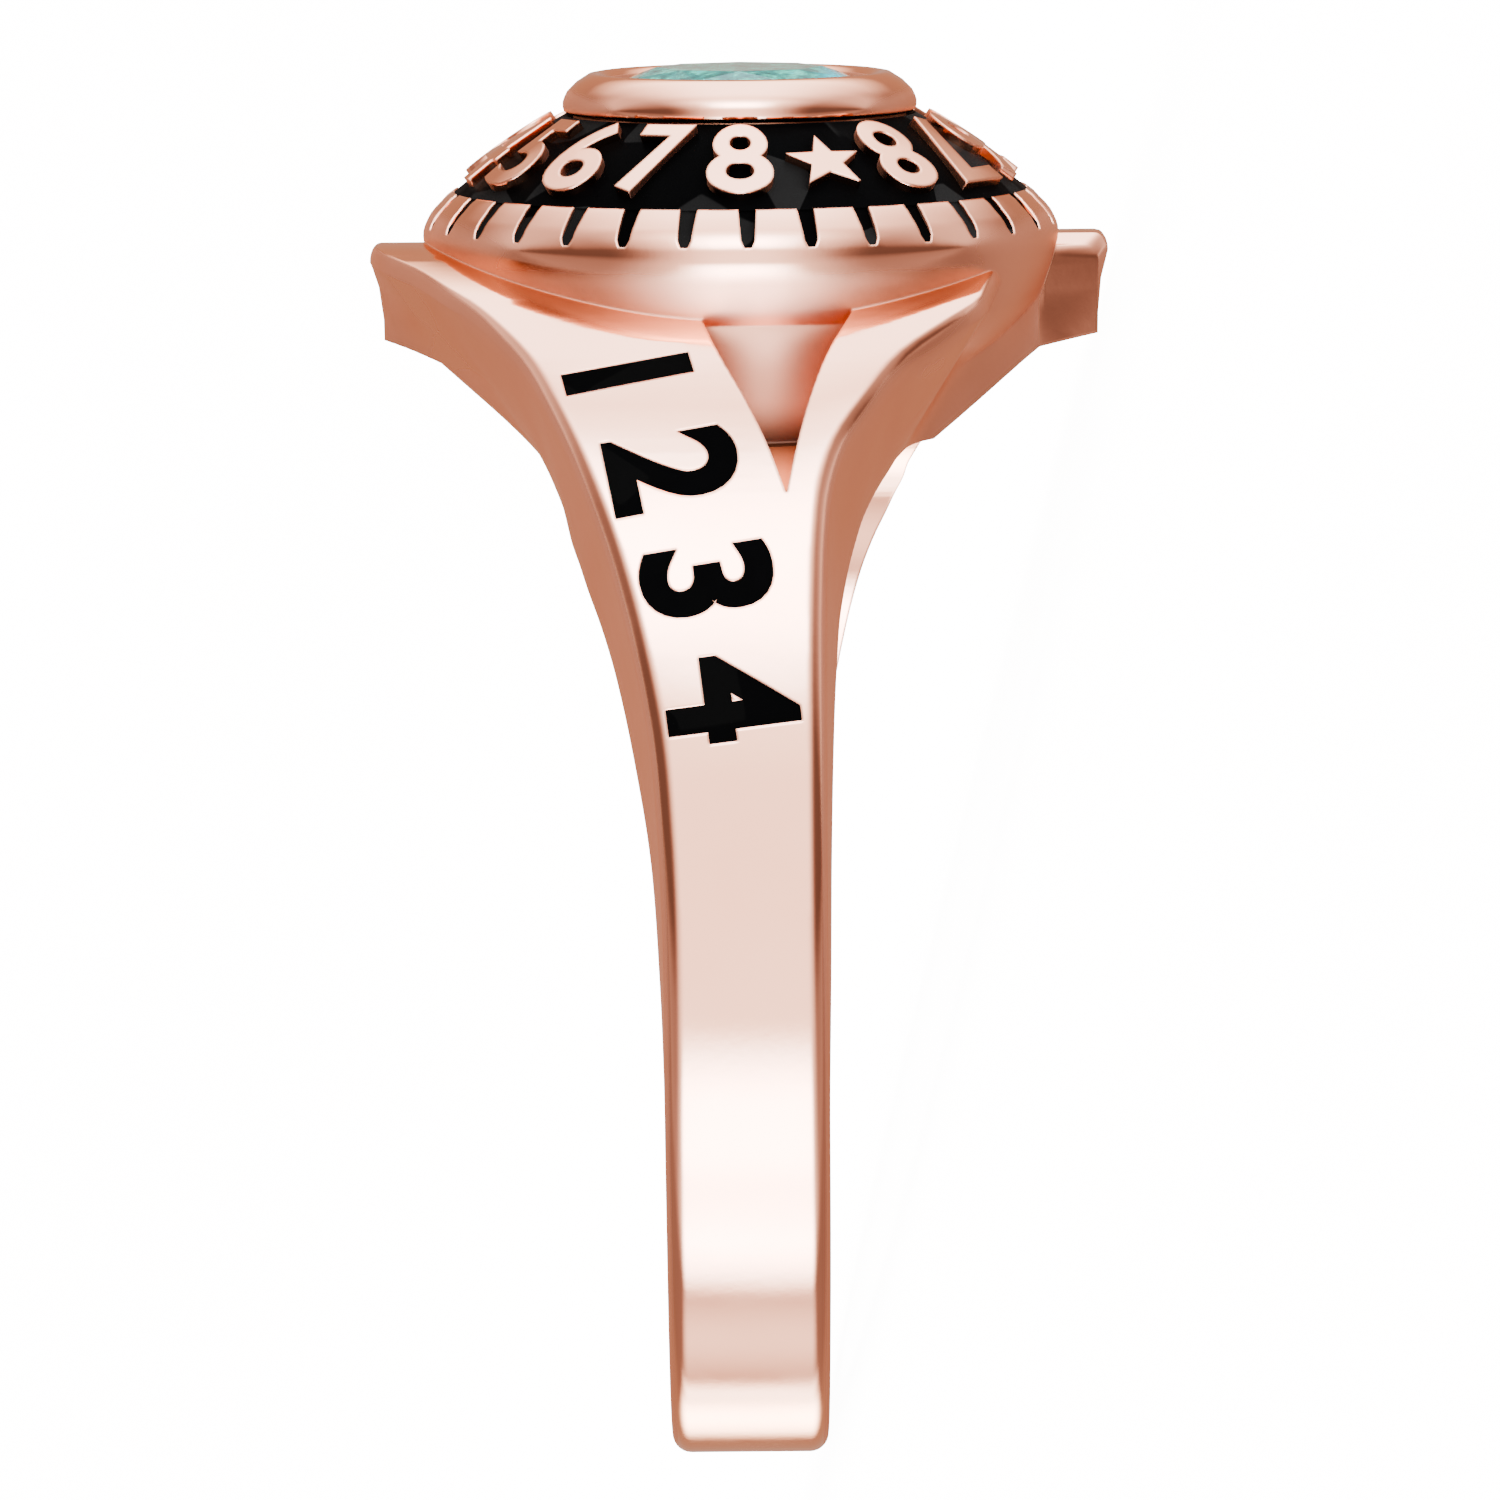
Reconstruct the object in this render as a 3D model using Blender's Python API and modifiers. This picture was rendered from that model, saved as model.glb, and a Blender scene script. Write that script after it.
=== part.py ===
"""A class ring: one casting with bypass shoulders, a bezel-set stone, a black collar and engraved numerals.

The ring is modelled upright and then laid on its side. Upright, X is the finger axis, -Y is the front, Z
points from the finger to the stone, and the origin is the centre of the finger hole. Angles round the finger
start at the top and go towards the front. The front and the back are the same shape, turned half a turn
about Z.
"""

import math

import bmesh
import bpy
import numpy as np
from mathutils import Matrix, Vector

MM = 0.001
UP = Vector((0, 0, 1))

# Finger hole, and the flare that thins the shoulders outside it: half widths and radii in mm
HOLE_RADIUS = 8.65
FLARE_START = 3.45
FLARE_MIDDLE = (5.4, 10.1)
FLARE_END = (7.5, 10.52)
HOLE_STEPS = 80
LOFT_FLOOR = 8.0

# Band sections in mm: the outer radius, then how far the wide arm and the slim branch reach along the
# finger, each at the outer surface and at the finger hole
BAND_COLUMNS = ("angle", "outer", "arm_out", "arm_in", "branch_out", "branch_in")
BAND_ROWS = (
    (0.3, 11.93, 6.50, 6.45, 5.50, 5.46),
    (1.2, 12.06, 6.68, 6.20, 5.44, 5.20),
    (3.0, 12.14, 6.80, 5.60, 5.34, 4.75),
    (6.0, 12.18, 6.83, 4.85, 5.18, 4.05),
    (10.0, 12.23, 6.68, 4.10, 4.99, 3.18),
    (15.0, 12.28, 6.03, 3.60, 4.79, 2.80),
    (20.0, 12.33, 5.40, 3.38, 4.59, 2.58),
    (23.0, 12.35, 4.93, 3.30, 4.42, 2.43),
    (26.0, 12.33, 4.50, 3.22, 3.85, 2.29),
    (30.0, 12.22, 3.93, 3.10, 2.98, 2.12),
    (34.0, 12.04, 3.50, 3.02, 2.38, 1.99),
    (38.0, 11.83, 3.12, 2.87, 1.84, 1.87),
    (42.0, 11.60, 2.79, 2.72, 1.56, 1.77),
    (47.0, 11.32, 2.43, 2.50, 1.44, 1.67),
    (52.0, 11.08, 2.14, 2.30, 1.40, 1.62),
    (58.0, 10.86, 1.86, 2.10, 1.38, 1.57),
    (65.0, 10.66, 1.61, 1.90, 1.38, 1.53),
    (75.0, 10.46, 1.46, 1.66, 1.38, 1.49),
    (90.0, 10.30, 1.40, 1.50, 1.39, 1.46),
    (104.0, 10.24, 1.42, 1.44, 1.41, 1.43),
    (118.0, 10.20, 1.42, 1.42, 1.42, 1.42),
    (133.0, 10.18, 1.42, 1.42, 1.42, 1.42),
    (149.0, 10.16, 1.42, 1.42, 1.42, 1.42),
    (165.0, 10.15, 1.42, 1.42, 1.42, 1.42),
    (180.0, 10.15, 1.42, 1.42, 1.42, 1.42),
)
EDGE_ROUNDING = 0.25
ROUNDING_MIDDLE = 1 - math.sqrt(0.5)

# The V between the arm and the branch: angle, then in mm its two edges and the radius of its sloping floor
GAP_ROWS = (
    (17.0, -1.20, 2.30, 9.81),
    (25.0, -0.74, 1.91, 10.02),
    (30.3, -0.37, 1.46, 10.31),
    (35.0, 0.08, 1.15, 10.64),
    (39.3, 0.45, 0.93, 11.04),
    (43.4, 0.74, 0.76, 11.50),
)
GAP_TOP = 13.5

# Head, turned about Z: radius and height in mm
SEAT_PROFILE = ((0.0, 12.78), (2.33, 14.72), (2.33, 14.93), (2.46, 15.06))
BEZEL_PROFILE = (
    (2.62, 15.11),
    (2.84, 15.02),
    (3.04, 14.86),
    (3.17, 14.68),
    (3.2, 14.5),
    (3.13, 14.4),
    (3.0, 14.37),
)
RIM_PROFILE = ((5.2, 13.01), (5.43, 12.8), (5.61, 12.6), (5.72, 12.38), (5.75, 12.2))
BOWL_PROFILE = (
    (5.7, 11.95),
    (5.58, 11.55),
    (5.36, 11.0),
    (4.7, 10.3),
    (3.9, 9.6),
    (3.2, 9.0),
    (2.6, 8.4),
    (0.0, 8.4),
)

# What the V pockets leave standing round the bowl, turned about Z too
CORE_PROFILE = (
    (0.0, 13.0),
    (5.3, 13.0),
    (5.3, 11.4),
    (5.35, 10.9),
    (5.27, 10.4),
    (5.21, 9.8),
    (5.19, 9.2),
    (5.19, 7.9),
    (0.0, 7.9),
)

# Steps round the head, and its sloping collar
HEAD_STEPS = 64
COLLAR_TOP = Vector((3.18, 14.36))
COLLAR_FOOT = Vector((5.17, 12.99))
COLLAR_BULGE = 0.06
ENAMEL_DEPTH = 0.25
CLEARANCE = 0.05

# Notches round the rim
NOTCH_COUNT = 32
NOTCH_FIRST = 1.3
NOTCH_DEPTH = 0.3
NOTCH_OUTLINE = ((-0.165, 13.2), (-0.115, 12.5), (-0.06, 12.38), (0.06, 12.38), (0.115, 12.5), (0.165, 13.2))
NOTCH_SINK = 0.03

# Raised characters on the collar: eight numerals and a star, twice round
COLLAR_NUMERALS = "12345678"
CELL_ANGLE = 20.0
STAR_ANGLE = 20.0
CHARACTER_WIDTH = 1.0
CHARACTER_HEIGHT = 1.8
CHARACTER_RELIEF = 0.18
CHARACTER_WEIGHT = 0.02
CHARACTER_CENTRE = 0.5
CHARACTER_ROOT = 0.35
STAR_CENTRE = 0.56
STAR_POINTS = 5
STAR_RADIUS = 0.72
STAR_WAIST = 0.3

# The built-in numerals in units of their own size: mean width and height, steps in a curve, and how near to
# each other two corners are one
GLYPH_WIDTH = 0.44
GLYPH_HEIGHT = 0.7
GLYPH_STEPS = 2
GLYPH_WELD = 0.005

# Engraved numerals on the front shoulder: finger-axis place in mm, angle and tilt in degrees
SHOULDER_ROWS = (
    ("1", -1.98, 32.0, 13.0),
    ("2", -1.19, 41.2, 11.0),
    ("3", -0.62, 51.2, 9.0),
    ("4", -0.22, 62.0, 7.0),
)
NUMERAL_HEIGHT = 2.1
NUMERAL_WIDTH = 1.25
NUMERAL_DEPTH = 0.22
NUMERAL_WEIGHT = 0.035
NUMERAL_SINK = 0.02
NUMERAL_CUTTER_TOP = 0.3

# Stone: a round brilliant cut, radius and height in mm for each ring of corners
STONE_RINGS = (
    (8, 0.0, 1.5, 15.2),
    (8, 0.5, 1.98, 15.05),
    (16, 0.0, 2.28, 14.87),
    (16, 0.0, 2.28, 14.8),
    (8, 0.5, 0.95, 13.7),
    (1, 0.0, 0.0, 12.97),
)

# Rest pose on the +X side, on the foot of the shank and the tip of the back arm, in degrees: how far the
# finger axis leans from upright towards the stone, and how far the back is raised
REST_LEAN = 14.04
REST_ROLL = 1.83


def clear_scene():
    for obj in list(bpy.data.objects):
        bpy.data.objects.remove(obj)


def add_collection(name, helper=False):
    collection = bpy.data.collections.new(name)
    collection.hide_render = helper
    bpy.context.scene.collection.children.link(collection)
    return collection


def add_material(name, colour, roughness, metallic):
    material = bpy.data.materials.new(name)
    material.use_nodes = True
    shader = material.node_tree.nodes["Principled BSDF"]
    shader.inputs["Base Color"].default_value = (*colour, 1)
    shader.inputs["Roughness"].default_value = roughness
    shader.inputs["Metallic"].default_value = metallic
    return material


def add_object(name, points, faces, collection):
    """A mesh from points in mm, with its faces turned outwards."""
    mesh = bpy.data.meshes.new(name)
    mesh.from_pydata([tuple(float(c) * MM for c in p) for p in points], [], faces)
    shape = bmesh.new()
    shape.from_mesh(mesh)
    bmesh.ops.recalc_face_normals(shape, faces=shape.faces)
    shape.to_mesh(mesh)
    shape.free()
    obj = bpy.data.objects.new(name, mesh)
    collection.objects.link(obj)
    if collection.hide_render:
        obj.hide_render = True
        obj.display_type = "WIRE"
    return obj


def turned(name, profile, steps, collection):
    """A solid of revolution about Z from a profile that runs down its outer side."""
    points = [(radius * MM, 0, height * MM) for radius, height in profile]
    mesh = bpy.data.meshes.new(name)
    mesh.from_pydata(points, [(i, i + 1) for i in range(len(points) - 1)], [])
    obj = bpy.data.objects.new(name, mesh)
    collection.objects.link(obj)
    screw = obj.modifiers.new("turn", "SCREW")
    screw.steps = steps
    screw.render_steps = steps
    screw.use_merge_vertices = True
    screw.merge_threshold = 0.000001
    if collection.hide_render:
        obj.hide_render = True
        obj.display_type = "WIRE"
    return obj


def combine(target, other, operation, solver="EXACT"):
    """A Boolean. EXACT would leave two edges open at the shoulder numerals, so MANIFOLD cuts those."""
    modifier = target.modifiers.new(other.name, "BOOLEAN")
    modifier.operation = operation
    modifier.solver = solver
    modifier.object = other


def smooth_column(rows, columns, name):
    """A column of a table as a smooth function of its angle."""
    angles = np.array([row[0] for row in rows])
    values = np.array([row[columns.index(name)] for row in rows])
    slopes = np.gradient(values, angles)

    def value_at(angle):
        i = int(np.clip(np.searchsorted(angles, angle) - 1, 0, len(angles) - 2))
        span = angles[i + 1] - angles[i]
        t = min(max((angle - angles[i]) / span, 0.0), 1.0)
        start = (1 + 2 * t) * (1 - t) ** 2 * values[i] + t * (1 - t) ** 2 * span * slopes[i]
        end = t * t * (3 - 2 * t) * values[i + 1] - t * t * (1 - t) * span * slopes[i + 1]
        return start + end

    return value_at


BAND = {name: smooth_column(BAND_ROWS, BAND_COLUMNS, name) for name in BAND_COLUMNS[1:]}


def round_finger(x, angle, radius):
    """A point from its place along the finger, its angle from the top towards the front, and its radius."""
    turn = math.radians(angle)
    return Vector((x, -radius * math.sin(turn), radius * math.cos(turn)))


def half_section(angle, side):
    """Half widths and radii of one side of the band, from the finger hole out to the flat."""
    outer = BAND["outer"](angle)
    wide = BAND[side + "_out"](angle)
    narrow = BAND[side + "_in"](angle)
    lean = (wide - narrow) / (outer - HOLE_RADIUS)
    start = outer - EDGE_ROUNDING
    return [
        (narrow + lean * (LOFT_FLOOR - HOLE_RADIUS), LOFT_FLOOR),
        (narrow + lean * (start - HOLE_RADIUS), start),
        (wide - ROUNDING_MIDDLE * EDGE_ROUNDING, outer - ROUNDING_MIDDLE * EDGE_ROUNDING),
        (wide - EDGE_ROUNDING, outer),
    ]


def band_section(angle):
    """A closed section: the arm is at -X on the front half and at +X on the back half."""
    from_top = min(angle, 360 - angle)
    sides = ("arm", "branch") if angle <= 180 else ("branch", "arm")
    left = [(-x, radius) for x, radius in half_section(from_top, sides[0])]
    right = half_section(from_top, sides[1])
    return [round_finger(x, angle, radius) for x, radius in left + right[::-1]]


def loft(sections, closed):
    """Points and faces through sections with equal numbers of corners."""
    count = len(sections[0])
    points = [point for section in sections for point in section]
    rings = len(sections)
    faces = []
    for ring in range(rings if closed else rings - 1):
        here, there = ring * count, (ring + 1) % rings * count
        for i in range(count):
            j = (i + 1) % count
            faces.append((here + i, here + j, there + j, there + i))
    if not closed:
        faces.append(tuple(range(count)))
        faces.append(tuple((rings - 1) * count + i for i in range(count)))
    return points, faces


def make_band(collection):
    front = [row[0] for row in BAND_ROWS]
    angles = front + [360 - angle for angle in front[-2::-1]]
    points, faces = loft([band_section(angle) for angle in angles], closed=True)
    return add_object("ring_body", points, faces, collection)


def make_gaps(collection):
    """The V pockets of the front and of the back, as one cutter that leaves the foot of the bowl."""
    sections = []
    for row in GAP_ROWS:
        angle, left, right, floor = row
        corners = ((left, floor), (right, floor), (right, GAP_TOP), (left, GAP_TOP))
        sections.append([round_finger(x, angle, radius) for x, radius in corners])
    points, faces = loft(sections, closed=False)
    count = len(points)
    points += [Vector((-p.x, -p.y, p.z)) for p in points]
    faces += [tuple(i + count for i in face) for face in faces]
    cutter = add_object("gap_cutter", points, faces, collection)
    combine(cutter, turned("bowl_core", CORE_PROFILE, HEAD_STEPS, collection), "DIFFERENCE")
    return cutter


def collar_point(down, lift):
    """Radius and height on the collar: down is 0 at the bezel and 1 at the rim, lift is along its normal."""
    along = COLLAR_FOOT - COLLAR_TOP
    normal = Vector((-along.y, along.x)).normalized()
    bulge = 4 * down * (1 - down) * COLLAR_BULGE
    return COLLAR_TOP + along * down + normal * (bulge + lift)


def make_head(collection):
    recess = [tuple(collar_point(down, -ENAMEL_DEPTH)) for down in (0, 0.5, 1)]
    profile = [*SEAT_PROFILE, *BEZEL_PROFILE, *recess, *RIM_PROFILE, *BOWL_PROFILE]
    return turned("head_form", profile, HEAD_STEPS, collection)


def make_hole(collection):
    """The finger hole with its flares, turned about Z and laid along the finger."""
    half = [(FLARE_END[1], FLARE_END[0]), (FLARE_MIDDLE[1], FLARE_MIDDLE[0]), (HOLE_RADIUS, FLARE_START)]
    lower = [(radius, -x) for radius, x in half[::-1]]
    profile = [(0.0, FLARE_END[0]), *half, *lower, (0.0, -FLARE_END[0])]
    cutter = turned("finger_cutter", profile, HOLE_STEPS, collection)
    cutter.rotation_euler = (0, math.pi / 2, 0)
    return cutter


def rim_radius(height):
    heights = [z for _, z in RIM_PROFILE[::-1]]
    radii = [r for r, _ in RIM_PROFILE[::-1]]
    slope = (radii[-1] - radii[-2]) / (heights[-1] - heights[-2])
    return float(np.interp(height, heights, radii)) + slope * max(height - heights[-1], 0)


def notch_blocks(name, shrink, outer_offset, collection):
    """A block in each notch of the rim. A positive shrink makes it smaller all round."""
    points, faces = [], []
    for k in range(NOTCH_COUNT):
        azimuth = math.radians(NOTCH_FIRST + k * 360 / NOTCH_COUNT)
        across = Vector((math.cos(azimuth), math.sin(azimuth), 0))
        out = Vector((math.sin(azimuth), -math.cos(azimuth), 0))
        sections = []
        for offset in (-NOTCH_DEPTH + shrink, outer_offset):
            section = []
            for side, height in NOTCH_OUTLINE:
                place = side - math.copysign(shrink, side)
                raised = min(height + shrink, NOTCH_OUTLINE[0][1] - shrink)
                section.append(across * place + out * (rim_radius(raised) + offset) + UP * raised)
            sections.append(section)
        some_points, some_faces = loft(sections, closed=False)
        start = len(points)
        points += some_points
        faces += [tuple(i + start for i in face) for face in some_faces]
    return add_object(name, points, faces, collection)


def without_counters(writing, graph):
    """The outline of a numeral, with the holes inside it left out."""
    outline = writing.to_curve(graph).copy()
    writing.to_curve_clear()
    while len(outline.splines) > 1:
        spans = {}
        for i, spline in enumerate(outline.splines):
            across = [point.co.x for point in spline.bezier_points]
            spans[max(across) - min(across)] = i
        outline.splines.remove(outline.splines[spans[min(spans)]])
    return outline


def thicken(shape, weight):
    """Moves the side of a numeral out by a weight, and closes its front and its back again."""
    bmesh.ops.recalc_face_normals(shape, faces=shape.faces)
    flat = [face for face in shape.faces if len({vertex.co.z > 0 for vertex in face.verts}) == 1]
    bmesh.ops.delete(shape, geom=flat, context="FACES")
    moves = []
    for vertex in shape.verts:
        first, second = (face.normal for face in vertex.link_faces)
        moves.append((first + second) * weight / (1 + first.dot(second)))
    for vertex, move in zip(shape.verts, moves):
        vertex.co += move
    for side in (-1, 1):
        outline = [edge for edge in shape.edges if edge.is_boundary and edge.verts[0].co.z * side > 0]
        bmesh.ops.triangle_fill(shape, use_beauty=True, edges=outline)


def glyph(text, weight, filled=False):
    """A numeral one unit thick, centred, in its font's own units: its points and its faces."""
    curve = bpy.data.curves.new("glyph", "FONT")
    curve.body = text
    curve.resolution_u = GLYPH_STEPS
    curve.fill_mode = "BOTH"
    curve.extrude = 0.5
    writing = bpy.data.objects.new("glyph", curve)
    bpy.context.scene.collection.objects.link(writing)
    graph = bpy.context.evaluated_depsgraph_get()
    if filled:
        outline = without_counters(writing, graph)
        bpy.data.objects.remove(writing)
        writing = bpy.data.objects.new("glyph", outline)
        bpy.context.scene.collection.objects.link(writing)
        graph = bpy.context.evaluated_depsgraph_get()
    mesh = bpy.data.meshes.new_from_object(writing.evaluated_get(graph))
    shape = bmesh.new()
    shape.from_mesh(mesh)
    bmesh.ops.remove_doubles(shape, verts=shape.verts, dist=GLYPH_WELD)
    thicken(shape, weight)
    points = [Vector(v.co) for v in shape.verts]
    faces = [tuple(v.index for v in face.verts) for face in shape.faces]
    shape.free()
    bpy.data.objects.remove(writing)
    middle = Vector([(min(p[i] for p in points) + max(p[i] for p in points)) / 2 for i in range(3)])
    return [p - middle for p in points], faces


def star(grow):
    """A star one unit thick, in mm, grown outwards by an amount."""
    corners = []
    for i in range(2 * STAR_POINTS):
        turn = math.pi * i / STAR_POINTS
        radius = (STAR_WAIST + grow) if i % 2 else (STAR_RADIUS + 2 * grow)
        corners.append((radius * math.sin(turn), radius * math.cos(turn)))
    sections = [[Vector((u, v, w)) for u, v in corners] for w in (-0.5, 0.5)]
    return loft(sections, closed=False)


def around_head(azimuth, radius, height):
    return Vector((radius * math.sin(azimuth), -radius * math.cos(azimuth), height))


def on_collar(azimuth, centre, upright, low, high):
    """A function that lays a flat shape on the collar, between two lifts from its surface."""
    length = (COLLAR_FOOT - COLLAR_TOP).length
    middle = collar_point(centre, 0)[0]
    turn = 1 if upright else -1

    def lay(u, v, w):
        radius, height = collar_point(centre - turn * v / length, low + (high - low) * (w + 0.5))
        return around_head(math.radians(azimuth) + turn * u / middle, radius, height)

    return lay


def collar_characters(name, grow, high, filled, collection):
    """The numerals and stars of the collar as blocks, grown outwards by an amount in mm."""
    wide = CHARACTER_WIDTH / GLYPH_WIDTH
    tall = CHARACTER_HEIGHT / GLYPH_HEIGHT
    points, faces = [], []
    for half in (0, 1):
        for i in range(len(COLLAR_NUMERALS) + 1):
            azimuth = STAR_ANGLE - i * CELL_ANGLE + half * 180
            if i == 0:
                flat, some_faces = star(grow)
                lay = on_collar(azimuth, STAR_CENTRE, True, -CHARACTER_ROOT, high)
                solid = [lay(p.x, p.y, p.z) for p in flat]
            else:
                text = COLLAR_NUMERALS[-i] if half == 0 else COLLAR_NUMERALS[i - 1]
                flat, some_faces = glyph(text, CHARACTER_WEIGHT + grow / tall, filled)
                lay = on_collar(azimuth, CHARACTER_CENTRE, half == 0, -CHARACTER_ROOT, high)
                solid = [lay(p.x * wide, p.y * tall, p.z) for p in flat]
            start = len(points)
            points += solid
            faces += [tuple(j + start for j in face) for face in some_faces]
    return add_object(name, points, faces, collection)


def shoulder_numeral(row, grow, low, high):
    """A numeral on the front shoulder, between two lifts from its surface: points and faces."""
    text, x, angle, tilt = row
    wide = NUMERAL_WIDTH / GLYPH_WIDTH
    tall = NUMERAL_HEIGHT / GLYPH_HEIGHT
    radius = BAND["outer"](angle)
    flat, faces = glyph(text, NUMERAL_WEIGHT + grow / tall)
    across, up = math.cos(math.radians(tilt)), math.sin(math.radians(tilt))
    points = []
    for p in flat:
        u, v = p.x * wide, p.y * tall
        place = angle - math.degrees((v * up - u * across) / radius)
        lift = low + (high - low) * (p.z + 0.5)
        points.append(round_finger(x + u * up + v * across, place, BAND["outer"](place) + lift))
    return points, faces


def make_numeral_cutters(collection):
    points, faces = [], []
    for row in SHOULDER_ROWS:
        some_points, some_faces = shoulder_numeral(row, 0, -NUMERAL_DEPTH, NUMERAL_CUTTER_TOP)
        start = len(points)
        points += some_points
        faces += [tuple(i + start for i in face) for face in some_faces]
    return add_object("numeral_cutter", points, faces, collection)


def make_shoulder_enamel(row, collection):
    points, faces = shoulder_numeral(row, -CLEARANCE, CLEARANCE - NUMERAL_DEPTH, -NUMERAL_SINK)
    return add_object("shoulder_enamel_" + row[0], points, faces, collection)


def make_stone(collection):
    """The convex form through the stone's rings of corners, so that each facet is flat."""
    shape = bmesh.new()
    for count, phase, radius, height in STONE_RINGS:
        for i in range(count):
            turn = 2 * math.pi * (i + phase) / count
            shape.verts.new(Vector((radius * math.sin(turn), -radius * math.cos(turn), height)) * MM)
    bmesh.ops.convex_hull(shape, input=shape.verts)
    mesh = bpy.data.meshes.new("stone")
    shape.to_mesh(mesh)
    shape.free()
    obj = bpy.data.objects.new("stone", mesh)
    collection.objects.link(obj)
    return obj


def make_body(parts, cutters):
    """The casting: shank, shoulders, bowl, notched rim, collar with raised characters, and bezel."""
    body = make_band(parts)
    combine(body, make_gaps(cutters), "DIFFERENCE")
    combine(body, make_head(cutters), "UNION")
    combine(body, make_hole(cutters), "DIFFERENCE")
    combine(body, notch_blocks("notch_cutter", 0, NOTCH_DEPTH, cutters), "DIFFERENCE")
    combine(body, collar_characters("raised_characters", 0, CHARACTER_RELIEF, False, cutters), "UNION")
    combine(body, make_numeral_cutters(cutters), "DIFFERENCE", "MANIFOLD")
    return body


def make_enamel(parts, cutters):
    """The black band of the collar, with a tooth in each notch of the rim."""
    inset = CLEARANCE / (COLLAR_FOOT - COLLAR_TOP).length
    ends = (inset, 0.5, 1 - inset)
    outer = [tuple(collar_point(down, 0)) for down in ends]
    inner = [tuple(collar_point(down, CLEARANCE - ENAMEL_DEPTH)) for down in ends[::-1]]
    band = turned("collar_enamel", [*outer, *inner, outer[0]], HEAD_STEPS, parts)
    combine(band, notch_blocks("enamel_teeth", CLEARANCE, -NOTCH_SINK, cutters), "UNION")
    characters = collar_characters("character_cutter", CLEARANCE, CHARACTER_ROOT, True, cutters)
    combine(band, characters, "DIFFERENCE")
    return band


def lay_down(pieces, helpers, collection):
    """Turns the ring onto its side, with the origin under the middle of its box."""
    rest = bpy.data.objects.new("rest_pose", None)
    collection.objects.link(rest)
    for obj in pieces + helpers:
        obj.parent = rest
    lean = Matrix.Rotation(math.radians(90 - REST_LEAN), 3, "Y")
    roll = Matrix.Rotation(math.radians(REST_ROLL), 3, "X")
    rest.rotation_euler = (roll @ lean).to_euler()
    graph = bpy.context.evaluated_depsgraph_get()
    corners = []
    for obj in pieces:
        piece = obj.evaluated_get(graph)
        corners += [piece.matrix_world @ vertex.co for vertex in piece.data.vertices]
    low = Vector([min(c[i] for c in corners) for i in range(3)])
    high = Vector([max(c[i] for c in corners) for i in range(3)])
    rest.location = (-(low.x + high.x) / 2, -(low.y + high.y) / 2, -low.z)


def main():
    clear_scene()
    parts = add_collection("class_ring")
    cutters = add_collection("cutters", helper=True)
    gold = add_material("rose_gold", (0.86, 0.58, 0.48), 0.12, 1.0)
    enamel = add_material("black_enamel", (0.01, 0.01, 0.01), 0.15, 0.0)
    glass = add_material("teal_stone", (0.18, 0.62, 0.58), 0.02, 0.0)
    body = make_body(parts, cutters)
    body.data.materials.append(gold)
    dark = [make_enamel(parts, cutters)] + [make_shoulder_enamel(row, parts) for row in SHOULDER_ROWS]
    for piece in dark:
        piece.data.materials.append(enamel)
    stone = make_stone(parts)
    stone.data.materials.append(glass)
    for obj in (body, dark[0]):
        obj.data.shade_smooth()
        obj.data.set_sharp_from_angle(angle=math.radians(30))
    lay_down(list(parts.objects), list(cutters.objects), parts)


main()
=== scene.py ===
"""The looks of the class ring: a polished rose-gold casting, black enamel, a teal stone, and a pale studio.

The ring is modelled upright, as its CAD is: X is the finger axis, -Y is the front, Z points from the finger
to the stone, lengths are in mm and angles round the finger start at the top and go towards the front. REST
then lays it on its side, where the CAD lies.
"""

import math

import bmesh
import bpy
import numpy as np
from mathutils import Matrix, Vector


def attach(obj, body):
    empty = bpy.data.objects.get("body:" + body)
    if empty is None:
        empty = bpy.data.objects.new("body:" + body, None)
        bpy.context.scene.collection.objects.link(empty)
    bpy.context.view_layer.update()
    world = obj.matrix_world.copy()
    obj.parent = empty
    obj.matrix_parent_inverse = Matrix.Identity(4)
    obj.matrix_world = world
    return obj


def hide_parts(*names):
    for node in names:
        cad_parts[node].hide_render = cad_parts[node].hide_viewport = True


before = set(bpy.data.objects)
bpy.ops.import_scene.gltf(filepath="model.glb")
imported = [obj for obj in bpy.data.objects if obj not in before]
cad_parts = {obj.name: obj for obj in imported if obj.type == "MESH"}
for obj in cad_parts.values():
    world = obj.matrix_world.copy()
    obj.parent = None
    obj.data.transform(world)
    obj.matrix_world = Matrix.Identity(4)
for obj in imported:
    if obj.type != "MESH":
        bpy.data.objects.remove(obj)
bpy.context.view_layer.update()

MM = 0.001
UP = Vector((0, 0, 1))

# The lying ring: lean and roll in degrees, place in metres
REST_LEAN = 14.04
REST_ROLL = 1.83
REST_PLACE = (-0.002582, 0.0, 0.003777)
REST = (
    Matrix.Translation(REST_PLACE)
    @ Matrix.Rotation(math.radians(REST_ROLL), 4, "X")
    @ Matrix.Rotation(math.radians(90 - REST_LEAN), 4, "Y")
)

# Finger hole and flares: half widths and radii in mm. The band's loft starts inside the hole, at LOFT_FLOOR
HOLE_RADIUS = 8.65
FLARE = ((3.45, 8.65), (5.4, 10.1), (7.5, 10.52))
HOLE_STEPS = 288
LOFT_FLOOR = 8.0

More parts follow.
